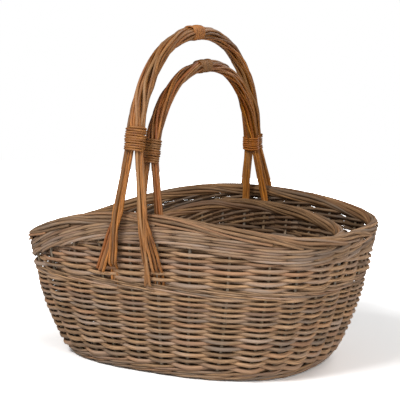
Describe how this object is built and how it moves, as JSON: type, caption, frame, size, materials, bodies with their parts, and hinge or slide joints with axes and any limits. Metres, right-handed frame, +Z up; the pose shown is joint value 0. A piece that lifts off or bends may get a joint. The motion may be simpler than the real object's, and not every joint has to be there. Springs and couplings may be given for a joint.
{
  "type": "trug garden basket",
  "caption": "Nest of two oval willow trug baskets with saddle-shaped rims and tall twisted-rod hoop handles; the small basket lifts out.",
  "frame": {"origin": "on the ground, under the middle of the large basket", "axes": "+X along the basket towards its higher end, +Y across it to the far side, +Z up"},
  "size_m": [0.5576, 0.413, 0.5208],
  "materials": {
    "weathered_willow": "weathered unpeeled willow rods, matt, grey-brown",
    "stake_willow": "weathered grey willow stakes, matt",
    "handle_willow": "warm orange-brown willow rods, slight sheen",
    "binding_willow": "thin warm willow, wound tight"
  },
  "bodies": {
    "large_basket": {"large_base_cross_sticks": "stake_willow", "large_base_long_sticks": "stake_willow", "large_base_weave": "weathered_willow", "large_upsett_wale": "weathered_willow", "large_stakes": "stake_willow", "large_side_weave": "weathered_willow", "large_shoulder_wale": "weathered_willow", "large_upper_weave": "weathered_willow", "large_border": "weathered_willow", "large_near_left_leg": "handle_willow", "large_near_right_leg": "handle_willow", "large_far_left_leg": "handle_willow", "large_far_right_leg": "handle_willow", "large_near_binding": "binding_willow", "large_far_binding": "binding_willow", "large_bow_core": "handle_willow", "large_bow_rods": "handle_willow", "large_crown_wrap": "binding_willow"},
    "small_basket": {"small_base_cross_sticks": "stake_willow", "small_base_long_sticks": "stake_willow", "small_base_weave": "weathered_willow", "small_upsett_wale": "weathered_willow", "small_stakes": "stake_willow", "small_side_weave": "weathered_willow", "small_shoulder_wale": "weathered_willow", "small_upper_weave": "weathered_willow", "small_border": "weathered_willow", "small_near_left_leg": "handle_willow", "small_near_right_leg": "handle_willow", "small_far_left_leg": "handle_willow", "small_far_right_leg": "handle_willow", "small_near_binding": "binding_willow", "small_far_binding": "binding_willow", "small_bow_core": "handle_willow", "small_bow_rods": "handle_willow", "small_crown_wrap": "binding_willow"}
  },
  "joints": [
    {"name": "small_basket_lift", "type": "slide", "parent": "large_basket", "child": "small_basket", "axis": [0.3162, 0, 0.9487], "range_m": [0, 0.19]}
  ]
}
